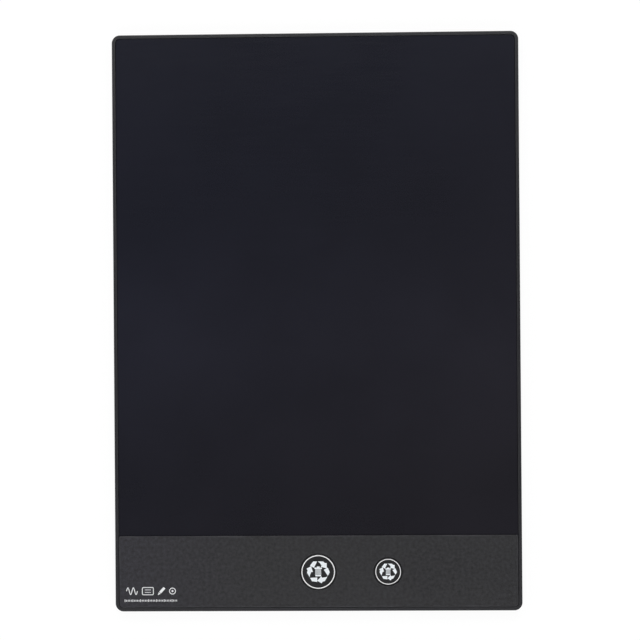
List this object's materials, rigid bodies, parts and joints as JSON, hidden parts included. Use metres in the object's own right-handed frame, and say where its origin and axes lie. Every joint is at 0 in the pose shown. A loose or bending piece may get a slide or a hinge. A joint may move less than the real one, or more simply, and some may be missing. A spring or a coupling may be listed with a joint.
{
  "type": "lcd writing tablet",
  "caption": "Thin writing slate with a dark pressure-sensitive screen and a strip with a large and a small round erase button; coin-cell door and erase lock on the back.",
  "frame": {"origin": "centre of the back face, which the tablet lies on", "axes": "+X to the tablet's right, +Y to the top of the screen, +Z out of the screen"},
  "size_m": [0.176, 0.25, 0.0055],
  "materials": {
    "case_plastic": "satin moulded",
    "panel_plastic": "fine grain",
    "key_plastic": "fine grain with pale print",
    "writing_film": "semi-gloss film",
    "electrode_film": "clear film",
    "black_film": "matt black film",
    "bond_tape": "double-sided tape",
    "board_plastic": "sheet",
    "board_laminate": "solder mask",
    "chip_epoxy": "moulded epoxy",
    "ferrite": "matt",
    "ceramic": "matt",
    "spring_steel": "bright",
    "copper": "tinned copper foil",
    "contact_nickel": "nickel plated",
    "switch_shell": "tinned steel",
    "lever_plastic": "moulded",
    "slider_plastic": "moulded",
    "cell_steel": "bright",
    "cell_gasket": "nylon",
    "cell_electrode": "pressed powder",
    "screw_steel": "dark zinc",
    "pad_foam": "foam"
  },
  "bodies": {
    "case": {"rear_case": "case_plastic", "control_panel": "panel_plastic", "writing_film": "writing_film", "rear_electrode_film": "electrode_film", "black_backing_film": "black_film", "film_bond_tape": "bond_tape", "backing_board": "board_plastic", "front_electrode_lead": "copper", "rear_electrode_lead": "copper", "circuit_board": "board_laminate", "erase_dome": "spring_steel", "partial_erase_dome": "spring_steel", "controller_chip": "chip_epoxy", "boost_inductor": "ferrite", "storage_capacitor": "ceramic", "lock_switch_body": "switch_shell", "positive_contact": "contact_nickel", "negative_contact": "contact_nickel", "coin_cell_can": "cell_steel", "coin_cell_gasket": "cell_gasket", "coin_cell_cap": "cell_steel", "coin_cell_electrodes": "cell_electrode", "board_screw_1": "screw_steel", "board_screw_2": "screw_steel", "board_screw_3": "screw_steel"},
    "erase_key": {"erase_button": "key_plastic"},
    "partial_erase_key": {"partial_erase_button": "key_plastic"},
    "lock": {"lock_slider": "slider_plastic", "lock_switch_lever": "lever_plastic"},
    "door": {"battery_door": "case_plastic", "battery_door_screw": "screw_steel", "battery_foam_pad": "pad_foam"}
  },
  "joints": [
    {"name": "erase_button_press", "type": "slide", "parent": "case", "child": "erase_key", "axis": [0, 0, -1], "range_m": [0, 0.0003], "stiffness_N_per_m": 800, "springref_m": -0.0001, "deforming": ["erase_dome"]},
    {"name": "partial_erase_button_press", "type": "slide", "parent": "case", "child": "partial_erase_key", "axis": [0, 0, -1], "range_m": [0, 0.0003], "stiffness_N_per_m": 800, "springref_m": -0.0001, "deforming": ["partial_erase_dome"]},
    {"name": "lock_slide", "type": "slide", "parent": "case", "child": "lock", "axis": [1, 0, 0], "range_m": [0, 0.002]},
    {"name": "battery_door_hinge", "type": "hinge", "parent": "case", "child": "door", "pos_m": [-0.0673, -0.10825, 0.0001], "axis": [0, 1, 0], "range_deg": [0, 60]}
  ]
}
